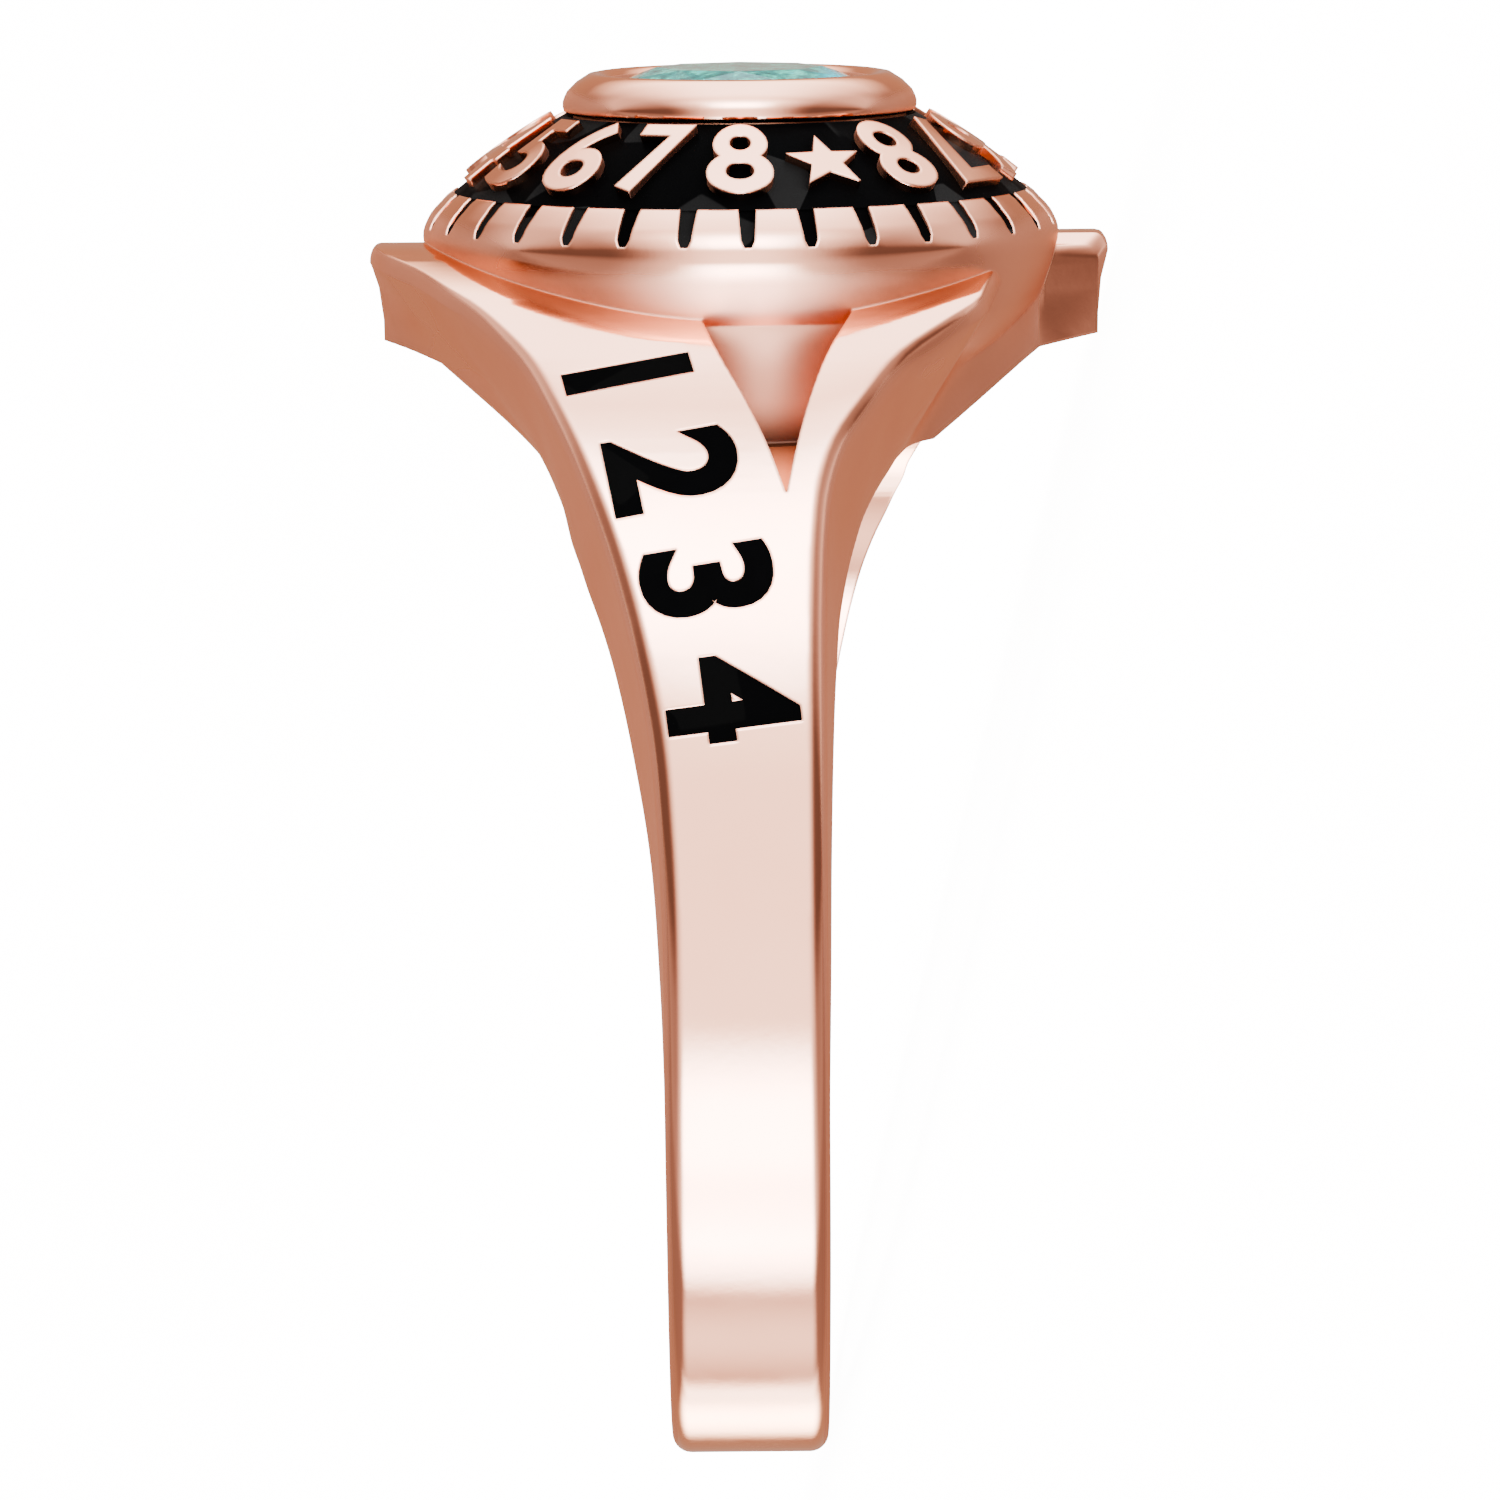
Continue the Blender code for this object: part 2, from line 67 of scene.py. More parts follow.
# Band sections in mm, at angles round the finger. The first two rows and EDGE_ROUNDING differ from the
# CAD's, to slant the ends of the arms and to round the long edges as much as the photo does
BAND_COLUMNS = ("angle", "outer", "arm_out", "arm_in", "branch_out", "branch_in")
BAND_ROWS = (
    (0.9, 11.93, 6.50, 6.45, 5.50, 5.46),
    (1.7, 12.08, 6.70, 6.05, 5.43, 5.10),
    (3.0, 12.14, 6.80, 5.60, 5.34, 4.75),
    (6.0, 12.18, 6.83, 4.85, 5.18, 4.05),
    (10.0, 12.23, 6.68, 4.10, 4.99, 3.18),
    (15.0, 12.28, 6.03, 3.60, 4.79, 2.80),
    (20.0, 12.33, 5.40, 3.38, 4.59, 2.58),
    (23.0, 12.35, 4.93, 3.30, 4.42, 2.43),
    (26.0, 12.33, 4.50, 3.22, 3.85, 2.29),
    (30.0, 12.22, 3.93, 3.10, 2.98, 2.12),
    (34.0, 12.04, 3.50, 3.02, 2.38, 1.99),
    (38.0, 11.83, 3.12, 2.87, 1.84, 1.87),
    (42.0, 11.60, 2.79, 2.72, 1.56, 1.77),
    (47.0, 11.32, 2.43, 2.50, 1.44, 1.67),
    (52.0, 11.08, 2.14, 2.30, 1.40, 1.62),
    (58.0, 10.86, 1.86, 2.10, 1.38, 1.57),
    (65.0, 10.66, 1.61, 1.90, 1.38, 1.53),
    (75.0, 10.46, 1.46, 1.66, 1.38, 1.49),
    (90.0, 10.30, 1.40, 1.50, 1.39, 1.46),
    (104.0, 10.24, 1.42, 1.44, 1.41, 1.43),
    (118.0, 10.20, 1.42, 1.42, 1.42, 1.42),
    (133.0, 10.18, 1.42, 1.42, 1.42, 1.42),
    (149.0, 10.16, 1.42, 1.42, 1.42, 1.42),
    (165.0, 10.15, 1.42, 1.42, 1.42, 1.42),
    (180.0, 10.15, 1.42, 1.42, 1.42, 1.42),
)
BAND_STEP = 1.25
EDGE_ROUNDING = 0.34
ROUNDING_STEPS = 7
WALL_STEPS = 8

# Corners nearer than this, in mm, are joined after the Booleans
WELD = 0.0001

# The V between the arm and the branch, in mm
GAP_COLUMNS = ("angle", "left", "right", "floor")
GAP_ROWS = (
    (17.0, -1.20, 2.30, 9.81),
    (25.0, -0.74, 1.91, 10.02),
    (30.3, -0.37, 1.46, 10.31),
    (35.0, 0.08, 1.15, 10.64),
    (39.3, 0.45, 0.93, 11.04),
    (43.4, 0.74, 0.76, 11.50),
)
GAP_STEP = 1.1
GAP_TOP = 13.5

# Head, turned about Z: radius and height in mm
SEAT_PROFILE = ((0.0, 12.78), (2.33, 14.72), (2.33, 14.93), (2.38, 15.01), (2.46, 15.06))
BEZEL_PROFILE = (
    (2.54, 15.1),
    (2.62, 15.11),
    (2.73, 15.09),
    (2.84, 15.02),
    (2.95, 14.95),
    (3.04, 14.86),
    (3.12, 14.78),
    (3.17, 14.68),
    (3.2, 14.59),
    (3.2, 14.5),
    (3.18, 14.44),
    (3.13, 14.4),
    (3.0, 14.37),
)
RIM_PROFILE = (
    (5.2, 13.01),
    (5.32, 12.92),
    (5.43, 12.8),
    (5.53, 12.7),
    (5.61, 12.6),
    (5.67, 12.49),
    (5.72, 12.38),
    (5.745, 12.29),
    (5.75, 12.2),
)
BOWL_PROFILE = (
    (5.735, 12.07),
    (5.7, 11.95),
    (5.65, 11.75),
    (5.58, 11.55),
    (5.48, 11.28),
    (5.36, 11.0),
    (4.7, 10.3),
    (3.9, 9.6),
    (3.2, 9.0),
    (2.6, 8.4),
    (0.0, 8.4),
)
CORE_PROFILE = (
    (0.0, 13.0),
    (5.3, 13.0),
    (5.3, 11.4),
    (5.345, 11.1),
    (5.35, 10.9),
    (5.31, 10.65),
    (5.27, 10.4),
    (5.23, 10.1),
    (5.21, 9.8),
    (5.19, 9.2),
    (5.19, 7.9),
    (0.0, 7.9),
)
HEAD_STEPS = 192
COLLAR_TOP = Vector((3.18, 14.36))
COLLAR_FOOT = Vector((5.17, 12.99))
COLLAR_BULGE = 0.06
COLLAR_CORNERS = 7
ENAMEL_DEPTH = 0.25

# Notches round the rim: the first one's angle in degrees, lengths in mm, outline as place across and height
NOTCH_COUNT = 32
NOTCH_FIRST = 1.3
NOTCH_DEPTH = 0.3
NOTCH_OUTLINE = (
    (-0.165, 13.2),
    (-0.115, 12.5),
    (-0.06, 12.38),
    (0.06, 12.38),
    (0.115, 12.5),
    (0.165, 13.2),
)
NOTCH_SINK = 0.03

# Raised characters on the collar: angles in degrees, lengths in mm, centres as parts of the way to the rim
COLLAR_NUMERALS = "12345678"
CELL_ANGLE = 20.0
STAR_ANGLE = 20.0
CHARACTER_WIDTH = 1.0
CHARACTER_HEIGHT = 1.8
CHARACTER_RELIEF = 0.18
CHARACTER_WEIGHT = 0.02
CHARACTER_CENTRE = 0.5
CHARACTER_ROOT = 0.35
STAR_CENTRE = 0.56
STAR_POINTS = 5
STAR_RADIUS = 0.72
STAR_WAIST = 0.3

# The built-in numerals' mean width and height, in units of their own size, the steps of their curves, and
# the distance under which their corners are joined
GLYPH_WIDTH = 0.44
GLYPH_HEIGHT = 0.7
GLYPH_STEPS = 6
GLYPH_WELD = 0.004

# Engraved numerals on the front shoulder: finger-axis place in mm, angle and tilt in degrees
SHOULDER_ROWS = (
    ("1", -1.98, 32.0, 13.0),
    ("2", -1.19, 41.2, 11.0),
    ("3", -0.62, 51.2, 9.0),
    ("4", -0.22, 62.0, 7.0),
)
NUMERAL_HEIGHT = 2.1
NUMERAL_WIDTH = 1.25
NUMERAL_DEPTH = 0.22
NUMERAL_WEIGHT = 0.035
NUMERAL_SINK = 0.02
NUMERAL_CUTTER_TOP = 0.3

# Camera in the ring's own upright axes: place in mm, angles in degrees, focal length in image widths, width
# of the sensor in mm and near limit in metres
CAMERA_PLACE = (0.09, -135.0, 22.87)
CAMERA_PITCH = 8.49
CAMERA_ROLL = -0.478
CAMERA_FOCAL = 4.9713
SENSOR_WIDTH = 36.0
CAMERA_CLIP = 0.005

# Creases sharper than these, in degrees, stay sharp
CASTING_CREASE = 24
COLLAR_CREASE = 32
NUMERAL_CREASE = 40

# The head's core and its bowl, in mm: they reach CORE_REACH, or BOWL_REACH plus BOWL_SLOPE times the height,
# from the head's axis. The core starts at CORE_FOOT, and the satin under the bowl fades out over BOWL_TOP
CORE_REACH = 5.4
CORE_FOOT = 7.9
BOWL_REACH = 1.79
BOWL_SLOPE = 0.33
BOWL_TOP = (11.7, 12.1)

# Painted shade at the foot of the V, darker towards the bottom, in mm: the heights over which it fades out,
# how far it reaches from the middle, and its least distance from the finger's axis. Then its strength and
# its colour
V_FOOT = (8.9, 9.7)
V_REACH = 1.9
V_START = 9.75
V_SHADE_SHARE = 0.88
V_SHADE_COLOUR = (0.03, 0.014, 0.01, 1)

# Gold: tones, tint at a grazing angle, polish, and the satin's extra roughness. Each polish is a range of
# noise and the roughness at its two ends. A face turns from polished to satin while the part of its normal
# along the finger axis goes through SIDE_TURN. EDGE_SOFTNESS is in mm
GOLD_TONES = [(0.3, (0.905, 0.50, 0.365)), (0.7, (0.925, 0.53, 0.395))]
GOLD_EDGE_TINT = (0.97, 0.76, 0.60, 1)
GOLD_POLISH = (0.35, 0.7, 0.07, 0.12)
SATIN_ROUGHNESS = 0.35
SIDE_TURN = (0.6, 0.85)
EDGE_SOFTNESS = 0.07

# Depth of the fine marks in gold and enamel, in metres
MARK_DEPTH = 0.00002

# Enamel: the base tone, the tone of its greyer patches of painted sheen, where a patch starts and is full,
# polish and shine
ENAMEL_TONE = (0.0012, 0.0012, 0.0013)
COLLAR_SHEEN = 0.0075
NUMERAL_SHEEN = 0.002
SHEEN_EDGE = (0.62, 0.7)
ENAMEL_POLISH = (0.3, 0.7, 0.28, 0.42)
ENAMEL_SHINE = 0.004

# Stone: tones by fleck, painted glints, and the heights in metres, in the lying ring, between which its
# lower side turns cyan as painted light of a facet. Then how clear it is, how it bends and mirrors light,
# and its polish
STONE_TONES = [
    (0.36, (0.003, 0.10, 0.10)),
    (0.48, (0.01, 0.20, 0.18)),
    (0.58, (0.06, 0.46, 0.36)),
    (0.68, (0.01, 0.34, 0.42)),
]
FACET_LIGHT_CYAN = (0.005, 0.40, 0.50, 1)
FACET_LIGHT_HEIGHTS = (0.0056, 0.0062)
STONE_CLEARNESS = 0.6
STONE_IOR = 1.5
STONE_SHINE = 0.1
STONE_POLISH = (0.4, 0.6, 0.02, 0.06)

# Brightness of the studio by angle in degrees, in the plane through the stone and the shank: 0 is in front
# of the ring, 90 above the stone. The fill holds near that plane, the side light to its left and right
FILL = (
    (-180, 0.62),
    (-145, 0.62),
    (-125, 0.5),
    (-80, 0.45),
    (-65, 2.2),
    (-30, 2.5),
    (20, 2.4),
    (60, 4.2),
    (76, 2.9),
    (92, 3.7),
    (130, 3.8),
    (150, 0.7),
    (180, 0.62),
)
SIDE_LIGHT = (
    (-180, 0.62),
    (-140, 0.62),
    (-120, 0.4),
    (-80, 0.4),
    (-60, 0.6),
    (-25, 0.5),
    (-5, 0.22),
    (30, 0.24),
    (60, 0.7),
    (85, 1.1),
    (110, 1.2),
    (140, 0.45),
    (180, 0.6),
)
LIGHT_PEAK = 12.0

# Softboxes: angle and half width in degrees, and brightness
SOFTBOXES = (
    (-127, 17, 10.0),
    (-113, 6, 3.0),
    (-93, 28, 1.7),
    (-66, 16, 8.5),
    (-50, 14, 6.0),
    (-36, 18, 8.0),
    (46, 20, 6.0),
)

# Where the fill and the softboxes fade out, as the part of a direction that is along the finger axis
FILL_END = (0.08, 0.75)
SOFTBOX_END = (0.06, 0.4)

# Tint of the light by its brightness
TINT = (
    (0.3, (1.0, 0.66, 0.56)),
    (0.6, (1.0, 0.70, 0.60)),
    (1.0, (1.0, 0.80, 0.72)),
    (2.5, (1.0, 0.94, 0.90)),
    (4.7, (0.95, 1.07, 1.15)),
    (12.0, (0.97, 0.97, 1.05)),
)

# Floor sheet in metres: its front, where its bend starts, the bend's radius, its top and its half width.
# Then the steps of the bend, and the sheet's tones, roughness and glow
FLOOR_FRONT = -0.6
FLOOR_BEND_START = 0.12
FLOOR_BEND = 0.12
FLOOR_TOP = 0.8
FLOOR_HALF = 0.7
BEND_STEPS = 12
FLOOR_TONES = [(0.3, (0.33, 0.325, 0.32)), (0.7, (0.36, 0.355, 0.35))]
FLOOR_ROUGHNESS = 0.9
FLOOR_GLOW = (1, 0.99, 0.985, 1)
FLOOR_GLOW_LEVEL = 6.5

# Softbox lamp: sides in metres, power in watts, place, and the point that it faces
LAMP_SIDES = (0.35, 0.25)
LAMP_POWER = 0.8
LAMP_PLACE = (0.12, -0.22, 0.38)
LAMP_AIM = (0, 0, 0.01)


# Shapes


def smooth_column(rows, columns, name):
    """A column of a table as a smooth function of its angle."""
    angles = np.array([row[0] for row in rows])
    values = np.array([row[columns.index(name)] for row in rows])
    slopes = np.gradient(values, angles)

    def value_at(angle):
        i = int(np.clip(np.searchsorted(angles, angle) - 1, 0, len(angles) - 2))
        span = angles[i + 1] - angles[i]
        t = min(max((angle - angles[i]) / span, 0.0), 1.0)
        start = (1 + 2 * t) * (1 - t) ** 2 * values[i] + t * (1 - t) ** 2 * span * slopes[i]
        end = t * t * (3 - 2 * t) * values[i + 1] - t * t * (1 - t) * span * slopes[i + 1]
        return start + end

    return value_at


BAND = {name: smooth_column(BAND_ROWS, BAND_COLUMNS, name) for name in BAND_COLUMNS[1:]}
GAP = {name: smooth_column(GAP_ROWS, GAP_COLUMNS, name) for name in GAP_COLUMNS[1:]}


def add_object(name, points, faces):
    """A mesh from upright points in mm, laid down with the ring, with its faces turned outwards."""
    mesh = bpy.data.meshes.new(name)
    mesh.from_pydata([REST @ (Vector(p) * MM) for p in points], [], faces)
    shape = bmesh.new()
    shape.from_mesh(mesh)
    bmesh.ops.recalc_face_normals(shape, faces=shape.faces)
    shape.to_mesh(mesh)
    shape.free()
    obj = bpy.data.objects.new(name, mesh)
    bpy.context.scene.collection.objects.link(obj)
    return obj


def turned(name, profile, steps, along_finger=False):
    """A solid of revolution about Z, or about the finger axis, from a profile in mm."""
    points, rings = [], []
    for radius, height in profile:
        count = steps if radius > 0 else 1
        ring = []
        for i in range(count):
            turn = 2 * math.pi * i / steps
            flat = (radius * math.cos(turn), radius * math.sin(turn))
            ring.append(len(points))
            points.append((height, *flat) if along_finger else (*flat, height))
        rings.append(ring)
    pairs = list(zip(rings, rings[1:]))
    if profile[0][0] > 0:
        pairs.append((rings[-1], rings[0]))
    faces = []
    for upper, lower in pairs:
        for i in range(steps):
            j = (i + 1) % steps
            above = (upper[i % len(upper)], upper[j % len(upper)])
            below = (lower[j % len(lower)], lower[i % len(lower)])
            faces.append(tuple(dict.fromkeys(above + below)))
    return add_object(name, points, faces)


def combine(target, other, operation):
    """A Boolean that is applied at once. The other object is removed."""
    modifier = target.modifiers.new(other.name, "BOOLEAN")
    modifier.operation = operation
    modifier.solver = "MANIFOLD"
    modifier.object = other
    apply_modifiers(target)
    bpy.data.objects.remove(other)


def apply_modifiers(obj):
    """Keeps the mesh that the modifiers give."""
    graph = bpy.context.evaluated_depsgraph_get()
    mesh = bpy.data.meshes.new_from_object(obj.evaluated_get(graph))
    obj.modifiers.clear()
    obj.data = mesh


def keep_largest(obj):
    """Joins corners that the Booleans left almost together, and drops loose slivers."""
    shape = bmesh.new()
    shape.from_mesh(obj.data)
    bmesh.ops.remove_doubles(shape, verts=shape.verts, dist=WELD * MM)
    bmesh.ops.dissolve_degenerate(shape, edges=shape.edges, dist=WELD * MM)
    left, groups = set(shape.verts), []
    while left:
        group = [left.pop()]
        for vertex in group:
            near = {edge.other_vert(vertex) for edge in vertex.link_edges} & left
            left -= near
            group += near
        groups.append(group)
    groups.sort(key=len)
    bmesh.ops.delete(shape, geom=[vertex for group in groups[:-1] for vertex in group], context="VERTS")
    shape.to_mesh(obj.data)
    shape.free()


def round_finger(x, angle, radius):
    """A point at a place along the finger, an angle round it and a distance from its axis."""
    turn = math.radians(angle)
    return Vector((x, -radius * math.sin(turn), radius * math.cos(turn)))


def half_section(angle, side):
    """Half widths and radii of one side of the band, from the finger hole out to the flat."""
    outer = BAND["outer"](angle)
    wide = BAND[side + "_out"](angle)
    narrow = BAND[side + "_in"](angle)
    lean = (wide - narrow) / (outer - HOLE_RADIUS)
    start = outer - EDGE_ROUNDING
    wall = np.linspace(LOFT_FLOOR, start, WALL_STEPS, endpoint=False)
    section = [(narrow + lean * (radius - HOLE_RADIUS), radius) for radius in wall]
    foot = narrow + lean * (start - HOLE_RADIUS)
    for i in range(ROUNDING_STEPS + 1):
        turn = math.pi / 2 * i / ROUNDING_STEPS
        across = foot + (wide - EDGE_ROUNDING - foot) * (1 - math.cos(turn))
        section.append((across, start + EDGE_ROUNDING * math.sin(turn)))
    return section


def band_section(angle):
    """A closed section: the arm is at -X on the front half and at +X on the back half."""
    from_top = min(angle, 360 - angle)
    sides = ("arm", "branch") if angle <= 180 else ("branch", "arm")
    left = [(-x, radius) for x, radius in half_section(from_top, sides[0])]
    right = half_section(from_top, sides[1])
    return [round_finger(x, angle, radius) for x, radius in left + right[::-1]]


def loft(sections, closed):
    """Points and faces through sections with equal numbers of corners."""
    count = len(sections[0])
    points = [point for section in sections for point in section]
    rings = len(sections)
    faces = []
    for ring in range(rings if closed else rings - 1):
        here, there = ring * count, (ring + 1) % rings * count
        for i in range(count):
            j = (i + 1) % count
            faces.append((here + i, here + j, there + j, there + i))
    if not closed:
        faces.append(tuple(range(count)))
        faces.append(tuple((rings - 1) * count + i for i in range(count)))
    return points, faces


def make_band():
    """Shank, arms and branches, as one closed loft round the finger."""
    first = BAND_ROWS[0][0]
    steps = round((180 - first) / BAND_STEP)
    front = [first + (180 - first) * i / steps for i in range(steps + 1)]
    angles = front + [360 - angle for angle in front[-2::-1]]
    points, faces = loft([band_section(angle) for angle in angles], closed=True)
    return add_object("casting", points, faces)


def make_gaps():
    """The space in both Vs, less the head's core."""
    sections = []
    first, last = GAP_ROWS[0][0], GAP_ROWS[-1][0]
    steps = round((last - first) / GAP_STEP)
    for i in range(steps + 1):
        angle = first + (last - first) * i / steps
        left, right, floor = (GAP[name](angle) for name in GAP_COLUMNS[1:])
        corners = ((left, floor), (right, floor), (right, GAP_TOP), (left, GAP_TOP))
        sections.append([round_finger(x, angle, radius) for x, radius in corners])
    points, faces = loft(sections, closed=False)
    count = len(points)
    points += [Vector((-p.x, -p.y, p.z)) for p in points]
    faces += [tuple(i + count for i in face) for face in faces]
    cutter = add_object("gap_cutter", points, faces)
    combine(cutter, turned("bowl_core", CORE_PROFILE, HEAD_STEPS), "DIFFERENCE")
    return cutter


def collar_point(down, lift):
    """Radius and height on the collar: down is 0 at the bezel and 1 at the rim, lift is off its surface."""
    along = COLLAR_FOOT - COLLAR_TOP
    normal = Vector((-along.y, along.x)).normalized()
    bulge = 4 * down * (1 - down) * COLLAR_BULGE
    return COLLAR_TOP + along * down + normal * (bulge + lift)


def make_head():
    """Seat, bezel, collar recess, rim and bowl."""
    recess = [tuple(collar_point(down, -ENAMEL_DEPTH)) for down in (0, 0.25, 0.5, 0.75, 1)]
    profile = [*SEAT_PROFILE, *BEZEL_PROFILE, *recess, *RIM_PROFILE, *BOWL_PROFILE]
    return turned("head_form", profile, HEAD_STEPS)


def make_hole():
    """The finger hole with a flare at each end."""
    end = FLARE[-1][0]
    outer = [(radius, x) for x, radius in FLARE[::-1]]
    inner = [(radius, -x) for x, radius in FLARE]
    profile = [(0.0, end), *outer, *inner, (0.0, -end)]
    return turned("finger_cutter", profile, HOLE_STEPS, along_finger=True)


def rim_radius(height):
    """The rim's radius at a height, carried on above its top."""
    heights = [z for _, z in RIM_PROFILE[::-1]]
    radii = [r for r, _ in RIM_PROFILE[::-1]]
    slope = (radii[-1] - radii[-2]) / (heights[-1] - heights[-2])
    return float(np.interp(height, heights, radii)) + slope * max(height - heights[-1], 0)


def notch_blocks(name, outer_offset):
    """One block in each notch of the rim, out to an offset from the rim's surface."""
    points, faces = [], []
    for k in range(NOTCH_COUNT):
        azimuth = math.radians(NOTCH_FIRST + k * 360 / NOTCH_COUNT)
        across = Vector((math.cos(azimuth), math.sin(azimuth), 0))
        out = Vector((math.sin(azimuth), -math.cos(azimuth), 0))
        sections = []
        for offset in (-NOTCH_DEPTH, outer_offset):
            section = [across * side + out * (rim_radius(z) + offset) + UP * z for side, z in NOTCH_OUTLINE]
            sections.append(section)
        some_points, some_faces = loft(sections, closed=False)
        start = len(points)
        points += some_points
        faces += [tuple(i + start for i in face) for face in some_faces]
    return add_object(name, points, faces)


def thicken(shape, weight):
    """Moves the side of a numeral out by a weight, and closes its front and its back again."""
    bmesh.ops.recalc_face_normals(shape, faces=shape.faces)
    flat = [face for face in shape.faces if len({vertex.co.z > 0 for vertex in face.verts}) == 1]
    bmesh.ops.delete(shape, geom=flat, context="FACES")
    moves = []
    for vertex in shape.verts:
        first, second = (face.normal for face in vertex.link_faces)
        moves.append((first + second) * weight / (1 + first.dot(second)))
    for vertex, move in zip(shape.verts, moves):
        vertex.co += move
    for side in (-1, 1):
        outline = [edge for edge in shape.edges if edge.is_boundary and edge.verts[0].co.z * side > 0]
        bmesh.ops.triangle_fill(shape, use_beauty=True, edges=outline)


def glyph(text, weight):
    """A numeral one unit thick, centred, in its font's own units: its points and its faces."""
    curve = bpy.data.curves.new("glyph", "FONT")
    curve.body = text
    curve.resolution_u = GLYPH_STEPS
    curve.fill_mode = "BOTH"
    curve.extrude = 0.5
    writing = bpy.data.objects.new("glyph", curve)
    bpy.context.scene.collection.objects.link(writing)
    graph = bpy.context.evaluated_depsgraph_get()
    mesh = bpy.data.meshes.new_from_object(writing.evaluated_get(graph))
    shape = bmesh.new()
    shape.from_mesh(mesh)
    bmesh.ops.remove_doubles(shape, verts=shape.verts, dist=GLYPH_WELD)
    thicken(shape, weight)
    points = [Vector(v.co) for v in shape.verts]
    faces = [tuple(v.index for v in face.verts) for face in shape.faces]
    shape.free()
    bpy.data.objects.remove(writing)
    middle = Vector([(min(p[i] for p in points) + max(p[i] for p in points)) / 2 for i in range(3)])
    return [p - middle for p in points], faces


def star():
    """A star one unit thick, in mm."""
    corners = []
    for i in range(2 * STAR_POINTS):
        turn = math.pi * i / STAR_POINTS
        radius = STAR_WAIST if i % 2 else STAR_RADIUS
        corners.append((radius * math.sin(turn), radius * math.cos(turn)))
    return loft([[Vector((u, v, w)) for u, v in corners] for w in (-0.5, 0.5)], closed=False)


def on_collar(azimuth, centre, upright, low, high):
    """A function that lays a flat shape on the collar, between two lifts from its surface."""
    length = (COLLAR_FOOT - COLLAR_TOP).length
    middle = collar_point(centre, 0)[0]
    turn = 1 if upright else -1

    def lay(u, v, w):
        radius, height = collar_point(centre - turn * v / length, low + (high - low) * (w + 0.5))
        place = math.radians(azimuth) + turn * u / middle
        return Vector((radius * math.sin(place), -radius * math.cos(place), height))

    return lay


def collar_characters():
    """The star and the numerals, twice round the collar, the second half upside down."""
    wide = CHARACTER_WIDTH / GLYPH_WIDTH
    tall = CHARACTER_HEIGHT / GLYPH_HEIGHT
    points, faces = [], []
    for half in (0, 1):
        for i in range(len(COLLAR_NUMERALS) + 1):
            azimuth = STAR_ANGLE - i * CELL_ANGLE + half * 180
            if i == 0:
                flat, some_faces = star()
                lay = on_collar(azimuth, STAR_CENTRE, True, -CHARACTER_ROOT, CHARACTER_RELIEF)
                solid = [lay(p.x, p.y, p.z) for p in flat]
            else:
                text = COLLAR_NUMERALS[-i] if half == 0 else COLLAR_NUMERALS[i - 1]
                flat, some_faces = glyph(text, CHARACTER_WEIGHT)
                lay = on_collar(azimuth, CHARACTER_CENTRE, half == 0, -CHARACTER_ROOT, CHARACTER_RELIEF)
                solid = [lay(p.x * wide, p.y * tall, p.z) for p in flat]
            start = len(points)
            points += solid
            faces += [tuple(j + start for j in face) for face in some_faces]
    return add_object("raised_characters", points, faces)


def shoulder_numeral(row, low, high):
    """A numeral on the front shoulder, between two lifts from its surface: points and faces."""
    text, x, angle, tilt = row
    wide = NUMERAL_WIDTH / GLYPH_WIDTH
    tall = NUMERAL_HEIGHT / GLYPH_HEIGHT
    radius = BAND["outer"](angle)
    flat, faces = glyph(text, NUMERAL_WEIGHT)
    across, up = math.cos(math.radians(tilt)), math.sin(math.radians(tilt))
    points = []
    for p in flat:
        u, v = p.x * wide, p.y * tall
        place = angle - math.degrees((v * up - u * across) / radius)
        lift = low + (high - low) * (p.z + 0.5)
        points.append(round_finger(x + u * up + v * across, place, BAND["outer"](place) + lift))
    return points, faces


def make_casting():
    """The whole rose-gold casting."""
    body = make_band()
    combine(body, make_gaps(), "DIFFERENCE")
    combine(body, make_head(), "UNION")
    combine(body, make_hole(), "DIFFERENCE")
    combine(body, notch_blocks("notch_cutter", NOTCH_DEPTH), "DIFFERENCE")
    combine(body, collar_characters(), "UNION")
    for row in SHOULDER_ROWS:
        cutter = add_object("numeral_cutter", *shoulder_numeral(row, -NUMERAL_DEPTH, NUMERAL_CUTTER_TOP))
        combine(body, cutter, "DIFFERENCE")
    keep_largest(body)
    return body


def make_collar_enamel():
    """The black band behind the characters, with a tooth in each notch of the rim."""
    outer = [tuple(collar_point(down, 0)) for down in np.linspace(0, 1, COLLAR_CORNERS)]
    inner = [tuple(collar_point(down, -ENAMEL_DEPTH)) for down in (1, 0.5, 0)]
    band = turned("collar_black", [*outer, *inner], HEAD_STEPS)
    combine(band, notch_blocks("teeth", -NOTCH_SINK), "UNION")
    return band


def soften(obj, sharp_angle):
    """Smooth shading, with creases kept and flat faces left flat."""
    obj.data.shade_smooth()
    obj.data.set_sharp_from_angle(angle=math.radians(sharp_angle))
    modifier = obj.modifiers.new("weighted", "WEIGHTED_NORMAL")
    modifier.keep_sharp = True
    apply_modifiers(obj)


# Materials


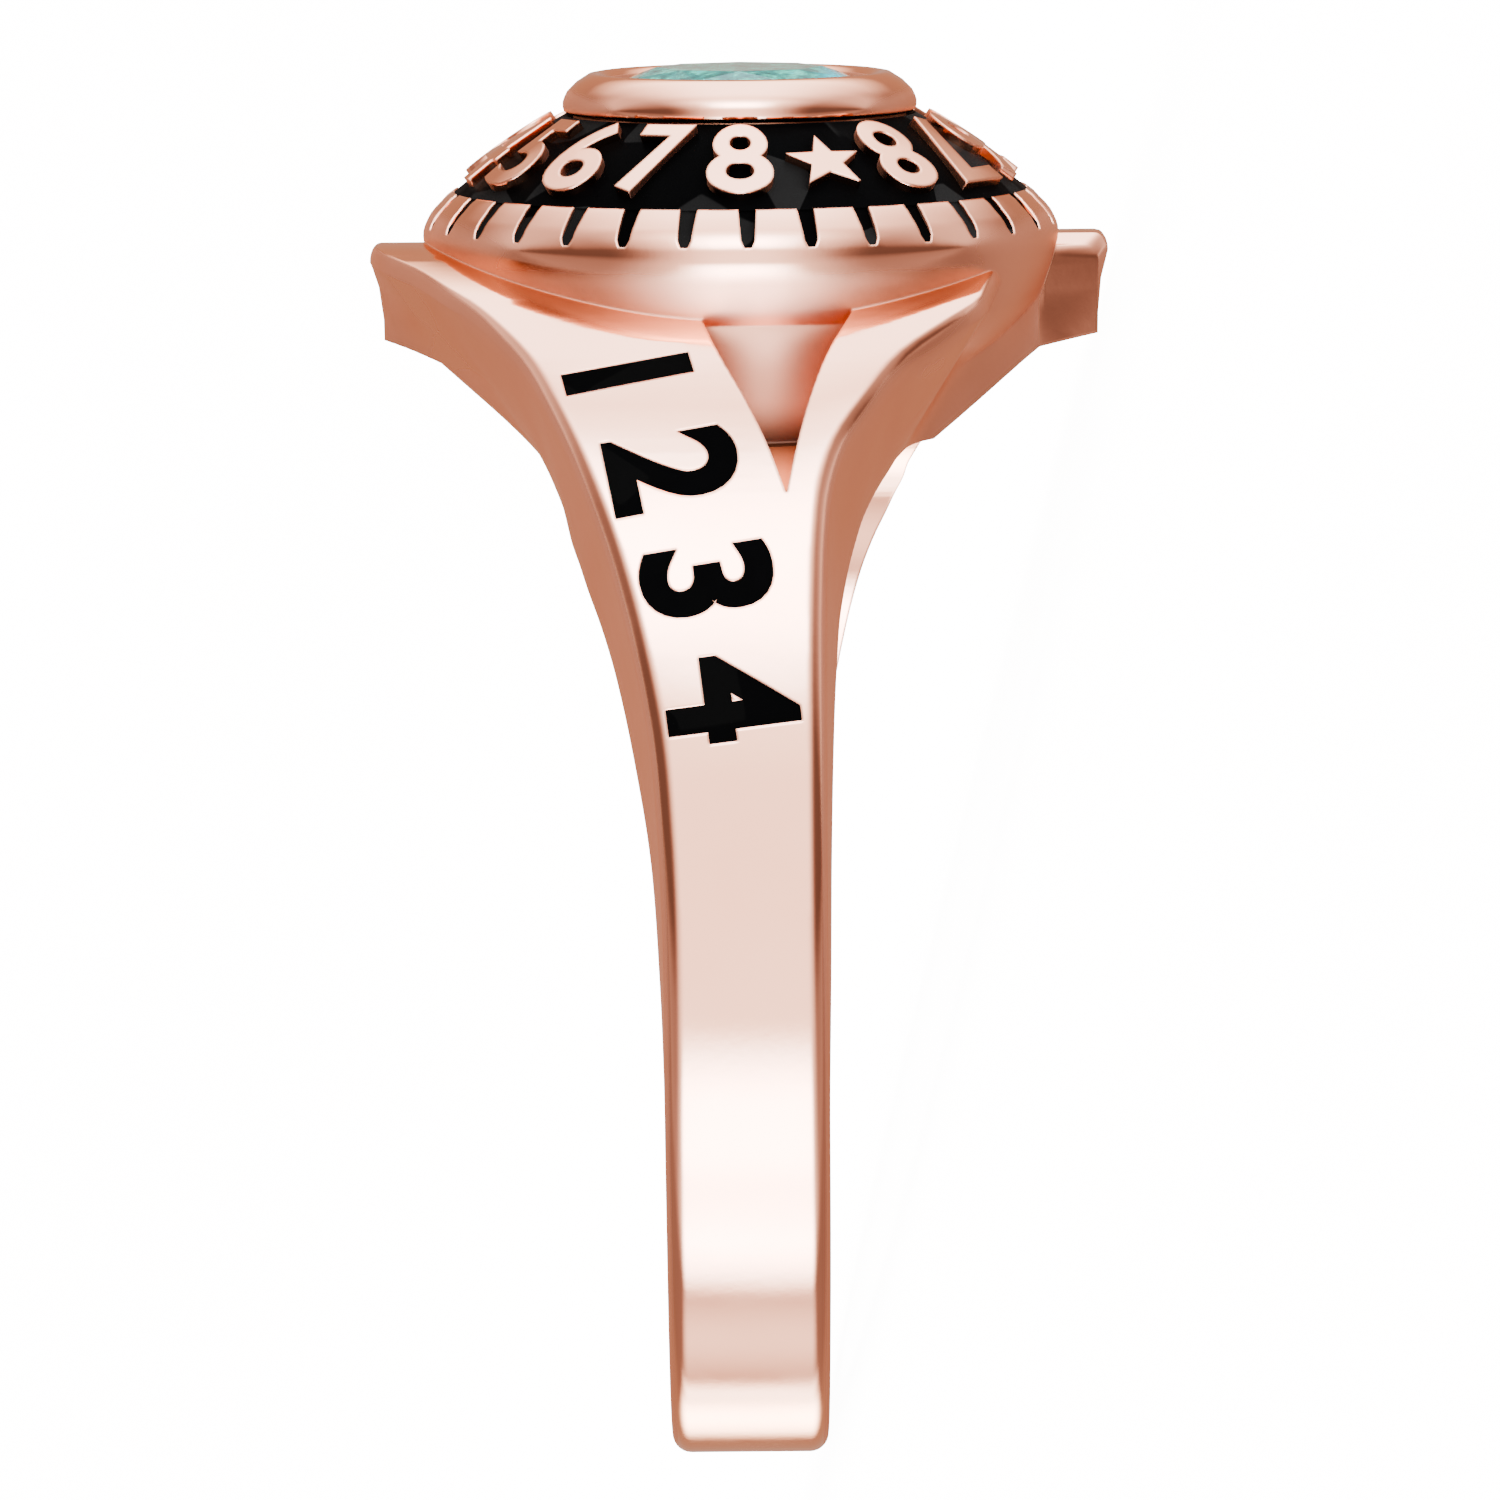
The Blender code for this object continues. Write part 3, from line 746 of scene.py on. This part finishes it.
class Nodes:
    """A small helper that adds and links shader nodes."""

    def __init__(self, tree):
        self.tree = tree

    def put(self, value, socket):
        """Links another node's output to a socket, or sets the socket's value."""
        if isinstance(value, bpy.types.NodeSocket):
            self.tree.links.new(value, socket)
        else:
            socket.default_value = value

    def add(self, kind, settings=None, **inputs):
        """A node with its settings and its inputs."""
        node = self.tree.nodes.new(kind)
        for name, value in (settings or {}).items():
            setattr(node, name, value)
        for name, value in inputs.items():
            self.put(value, node.inputs[name.replace("_", " ")])
        return node

    def ramp(self, factor, stops):
        """A colour ramp through (place, colour) stops."""
        node = self.add("ShaderNodeValToRGB", Fac=factor)
        ramp = node.color_ramp
        while len(ramp.elements) < len(stops):
            ramp.elements.new(0.5)
        for element, (place, colour) in zip(ramp.elements, stops):
            element.position = place
            element.color = (*colour, 1)
        return node.outputs["Color"]

    def noise(self, place, scale, detail=3.0, roughness=0.5):
        """Noise from 0 to 1, with a scale in waves per metre."""
        node = self.add("ShaderNodeTexNoise", Vector=place, Scale=scale, Detail=detail, Roughness=roughness)
        return node.outputs["Fac"]

    def math(self, operation, *values):
        """A math node on numbers and sockets."""
        node = self.add("ShaderNodeMath", {"operation": operation})
        for value, socket in zip(values, node.inputs):
            self.put(value, socket)
        return node.outputs["Value"]

    def along(self, direction, axis):
        """The part of a direction that is along one of the upright ring's axes."""
        node = self.add("ShaderNodeVectorMath", {"operation": "DOT_PRODUCT"})
        self.put(direction, node.inputs[0])
        self.put(REST.to_3x3() @ Vector(axis), node.inputs[1])
        return node.outputs["Value"]

    def mix(self, kind, factor, first, second):
        """A mix of two numbers or two colours."""
        node = self.add("ShaderNodeMix", {"data_type": kind}, Factor=factor, A=first, B=second)
        return node.outputs["Result"]

    def span(self, value, low, high, start, end):
        """A smooth change from start to end while a value goes from low to high."""
        smooth = {"interpolation_type": "SMOOTHSTEP"}
        ends = {"From_Min": low, "From_Max": high, "To_Min": start, "To_Max": end}
        return self.add("ShaderNodeMapRange", smooth, Value=value, **ends).outputs["Result"]


def new_material(name):
    """A material with its shader, its nodes and the place of the point being shaded."""
    material = bpy.data.materials.new(name)
    material.use_nodes = True
    shader = material.node_tree.nodes["Principled BSDF"]
    nodes = Nodes(material.node_tree)
    place = nodes.add("ShaderNodeTexCoord").outputs["Object"]
    return material, shader, nodes, place


def make_gold():
    """Rose gold: polished in front, satin on the sides and under the head, with painted shade deep in the V.
    """
    material, shader, nodes, place = new_material("polished_rose_gold")
    shader.inputs["Metallic"].default_value = 1.0
    shader.inputs["Specular Tint"].default_value = GOLD_EDGE_TINT
    upright = nodes.add("ShaderNodeMapping", {"vector_type": "TEXTURE"}, Vector=place)
    upright.inputs["Location"].default_value = REST_PLACE
    upright.inputs["Rotation"].default_value = REST.to_euler()
    upright.inputs["Scale"].default_value = (MM, MM, MM)
    parts = nodes.add("ShaderNodeSeparateXYZ", Vector=upright.outputs["Vector"]).outputs

    def distance(*axes):
        squares = [nodes.math("MULTIPLY", parts[axis], parts[axis]) for axis in axes]
        return nodes.math("SQRT", nodes.math("ADD", *squares))

    bowl_reach = nodes.math("MULTIPLY_ADD", parts["Z"], BOWL_SLOPE, BOWL_REACH)
    head_reach = nodes.math("MAXIMUM", CORE_REACH, bowl_reach)
    near_axis = nodes.math("LESS_THAN", distance("X", "Y"), head_reach)
    in_head = nodes.math("MULTIPLY", near_axis, nodes.math("GREATER_THAN", parts["Z"], CORE_FOOT))
    under_head = nodes.math("MULTIPLY", in_head, nodes.span(parts["Z"], *BOWL_TOP, 1.0, 0.0))
    normal = nodes.add("ShaderNodeNewGeometry").outputs["Normal"]
    sideways = nodes.math("ABSOLUTE", nodes.along(normal, (1, 0, 0)))
    satin = nodes.math("MAXIMUM", under_head, nodes.span(sideways, *SIDE_TURN, 0.0, 1.0))

    # Painted shade: the gold is darkened deep in the V, where shade falls
    painted_v_shade = nodes.span(parts["Z"], *V_FOOT, V_SHADE_SHARE, 0.0)
    in_v = nodes.math("LESS_THAN", nodes.math("ABSOLUTE", parts["X"]), V_REACH)
    beyond_bore = nodes.math("GREATER_THAN", distance("Y", "Z"), V_START)
    for limit in (in_head, in_v, beyond_bore):
        painted_v_shade = nodes.math("MULTIPLY", painted_v_shade, limit)
    tone = nodes.ramp(nodes.noise(place, scale=260.0), GOLD_TONES)
    nodes.put(nodes.mix("RGBA", painted_v_shade, tone, V_SHADE_COLOUR), shader.inputs["Base Color"])

    polish = nodes.span(nodes.noise(place, scale=900.0, detail=4.0), *GOLD_POLISH)
    nodes.put(nodes.math("MULTIPLY_ADD", satin, SATIN_ROUGHNESS, polish), shader.inputs["Roughness"])
    edge = nodes.add("ShaderNodeBevel", {"samples": 6}, Radius=EDGE_SOFTNESS * MM).outputs["Normal"]
    marks = nodes.noise(place, scale=5200.0, detail=2.0)
    bump = nodes.add("ShaderNodeBump", Strength=0.04, Distance=MARK_DEPTH, Height=marks, Normal=edge)
    nodes.put(bump.outputs["Normal"], shader.inputs["Normal"])
    return material


def make_black(name, sheen_level):
    """Black enamel, with greyer patches of painted sheen."""
    material, shader, nodes, place = new_material(name)
    smooth_cells = {"feature": "SMOOTH_F1"}
    # Painted sheen: greyer patches at random on the black enamel
    cells = nodes.add("ShaderNodeTexVoronoi", smooth_cells, Vector=place, Scale=900.0, Smoothness=0.2)
    sheen_patch = nodes.add("ShaderNodeSeparateColor", Color=cells.outputs["Color"]).outputs["Red"]
    start, full = SHEEN_EDGE
    tone = nodes.ramp(sheen_patch, [(start, ENAMEL_TONE), (full, [sheen_level] * 3)])
    nodes.put(tone, shader.inputs["Base Color"])
    polish = nodes.span(nodes.noise(place, scale=1500.0), *ENAMEL_POLISH)
    nodes.put(polish, shader.inputs["Roughness"])
    shader.inputs["Specular IOR Level"].default_value = ENAMEL_SHINE
    marks = nodes.noise(place, scale=2500.0)
    bump = nodes.add("ShaderNodeBump", Strength=0.1, Distance=MARK_DEPTH, Height=marks)
    nodes.put(bump.outputs["Normal"], shader.inputs["Normal"])
    return material


def make_teal():
    """Teal glass with painted glints, pale and cyan flecks as light breaks up in a cut stone, and a painted
    cyan facet.
    """
    material, shader, nodes, place = new_material("teal_cut_stone")
    flecks = nodes.noise(place, scale=2600.0, detail=6.0, roughness=0.75)
    height = nodes.add("ShaderNodeSeparateXYZ", Vector=place).outputs["Z"]
    # Painted light: the stone's lower side is painted cyan, as a facet that catches the light
    facet_light = nodes.span(height, *FACET_LIGHT_HEIGHTS, 1.0, 0.0)
    tone = nodes.mix("RGBA", facet_light, nodes.ramp(flecks, STONE_TONES), FACET_LIGHT_CYAN)
    nodes.put(tone, shader.inputs["Base Color"])
    shader.inputs["Transmission Weight"].default_value = STONE_CLEARNESS
    shader.inputs["IOR"].default_value = STONE_IOR
    shader.inputs["Specular IOR Level"].default_value = STONE_SHINE
    nodes.put(nodes.span(flecks, *STONE_POLISH), shader.inputs["Roughness"])
    return material


# Studio


def make_world():
    """Soft studio light in the ring's own axes: a fill, dimmer sides, and softboxes below and above."""
    world = bpy.data.worlds.new("studio")
    world.use_nodes = True
    bpy.context.scene.world = world
    nodes = Nodes(world.node_tree)
    direction = nodes.add("ShaderNodeTexCoord").outputs["Generated"]
    angle = nodes.math("ARCTAN2", nodes.along(direction, (0, 0, 1)), nodes.along(direction, (0, -1, 0)))
    place = nodes.math("MULTIPLY_ADD", angle, 0.5 / math.pi, 0.5)
    aside = nodes.math("ABSOLUTE", nodes.along(direction, (1, 0, 0)))

    def level(rows):
        stops = [((degrees + 180) / 360, [value / LIGHT_PEAK] * 3) for degrees, value in rows]
        return nodes.ramp(place, stops)

    total = nodes.mix("FLOAT", nodes.span(aside, *FILL_END, 0.0, 1.0), level(FILL), level(SIDE_LIGHT))
    near = nodes.span(aside, *SOFTBOX_END, 1.0, 0.0)
    for centre, half_width, brightness in SOFTBOXES:
        away = nodes.math("ABSOLUTE", nodes.math("SUBTRACT", angle, math.radians(centre)))
        box = nodes.span(away, 0.0, math.radians(half_width), brightness / LIGHT_PEAK, 0.0)
        total = nodes.math("MULTIPLY_ADD", box, near, total)
    tint = nodes.ramp(total, [(value / LIGHT_PEAK, colour) for value, colour in TINT])
    tinted = nodes.add("ShaderNodeVectorMath", {"operation": "MULTIPLY"})
    nodes.put(tint, tinted.inputs[0])
    nodes.put(total, tinted.inputs[1])
    background = world.node_tree.nodes["Background"]
    nodes.put(tinted.outputs["Vector"], background.inputs["Color"])
    background.inputs["Strength"].default_value = LIGHT_PEAK


def make_floor():
    """A pale sheet that runs back and curves up behind the ring. Polished metal doesn't reflect it."""
    run = [(FLOOR_FRONT, 0.0), (FLOOR_BEND_START, 0.0)]
    for i in range(1, BEND_STEPS + 1):
        turn = math.pi / 2 * i / BEND_STEPS
        run.append((FLOOR_BEND_START + FLOOR_BEND * math.sin(turn), FLOOR_BEND * (1 - math.cos(turn))))
    run.append((FLOOR_BEND_START + FLOOR_BEND, FLOOR_TOP))
    points = [(x, y, z) for y, z in run for x in (-FLOOR_HALF, FLOOR_HALF)]
    faces = [(2 * i, 2 * i + 1, 2 * i + 3, 2 * i + 2) for i in range(len(run) - 1)]
    mesh = bpy.data.meshes.new("pale_floor")
    mesh.from_pydata(points, [], faces)
    mesh.shade_smooth()
    floor = bpy.data.objects.new("pale_floor", mesh)
    bpy.context.scene.collection.objects.link(floor)
    material, shader, nodes, place = new_material("pale_paper")
    nodes.put(nodes.ramp(nodes.noise(place, scale=40.0), FLOOR_TONES), shader.inputs["Base Color"])
    shader.inputs["Roughness"].default_value = FLOOR_ROUGHNESS
    shader.inputs["Emission Color"].default_value = FLOOR_GLOW
    shader.inputs["Emission Strength"].default_value = FLOOR_GLOW_LEVEL
    mesh.materials.append(material)
    floor.visible_glossy = False


def make_lamp():
    """A weak softbox in front and above, for the enamel and the stone."""
    lamp = bpy.data.lights.new("softbox", "AREA")
    lamp.shape = "RECTANGLE"
    lamp.size, lamp.size_y = LAMP_SIDES
    lamp.energy = LAMP_POWER
    obj = bpy.data.objects.new("softbox", lamp)
    obj.location = LAMP_PLACE
    obj.rotation_euler = (Vector(LAMP_AIM) - obj.location).to_track_quat("-Z", "Y").to_euler()
    obj.visible_glossy = False
    bpy.context.scene.collection.objects.link(obj)


def make_camera():
    """The photo's camera, laid down with the ring."""
    data = bpy.data.cameras.new("camera")
    data.sensor_width = SENSOR_WIDTH
    data.lens = CAMERA_FOCAL * SENSOR_WIDTH
    data.clip_start = CAMERA_CLIP
    camera = bpy.data.objects.new("camera", data)
    pitch = Matrix.Rotation(math.radians(90 - CAMERA_PITCH), 4, "X")
    roll = Matrix.Rotation(math.radians(CAMERA_ROLL), 4, "Z")
    camera.matrix_world = REST @ Matrix.Translation(Vector(CAMERA_PLACE) * MM) @ pitch @ roll
    bpy.context.scene.collection.objects.link(camera)
    bpy.context.scene.camera = camera


def place_piece(obj, nodes, material):
    """Puts a material on a piece and lets it take the place of nodes of the CAD."""
    obj.data.materials.clear()
    obj.data.materials.append(material)
    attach(obj, "root")
    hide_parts(*nodes)


def main():
    casting = make_casting()
    soften(casting, CASTING_CREASE)
    place_piece(casting, ["ring_body"], make_gold())
    collar = make_collar_enamel()
    soften(collar, COLLAR_CREASE)
    collar_black = make_black("sheen_patched_black_enamel", COLLAR_SHEEN)
    place_piece(collar, ["collar_enamel"], collar_black)
    numeral_black = make_black("black_enamel", NUMERAL_SHEEN)
    for row in SHOULDER_ROWS:
        name = "shoulder_black_" + row[0]
        fill = add_object(name, *shoulder_numeral(row, -NUMERAL_DEPTH, -NUMERAL_SINK))
        soften(fill, NUMERAL_CREASE)
        place_piece(fill, ["shoulder_enamel_" + row[0]], numeral_black)
    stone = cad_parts["stone"]
    stone.data.materials.clear()
    stone.data.materials.append(make_teal())
    make_world()
    make_floor()
    make_lamp()
    make_camera()
    view = bpy.context.scene.view_settings
    view.view_transform = "AgX"
    view.look = "AgX - Medium High Contrast"


main()
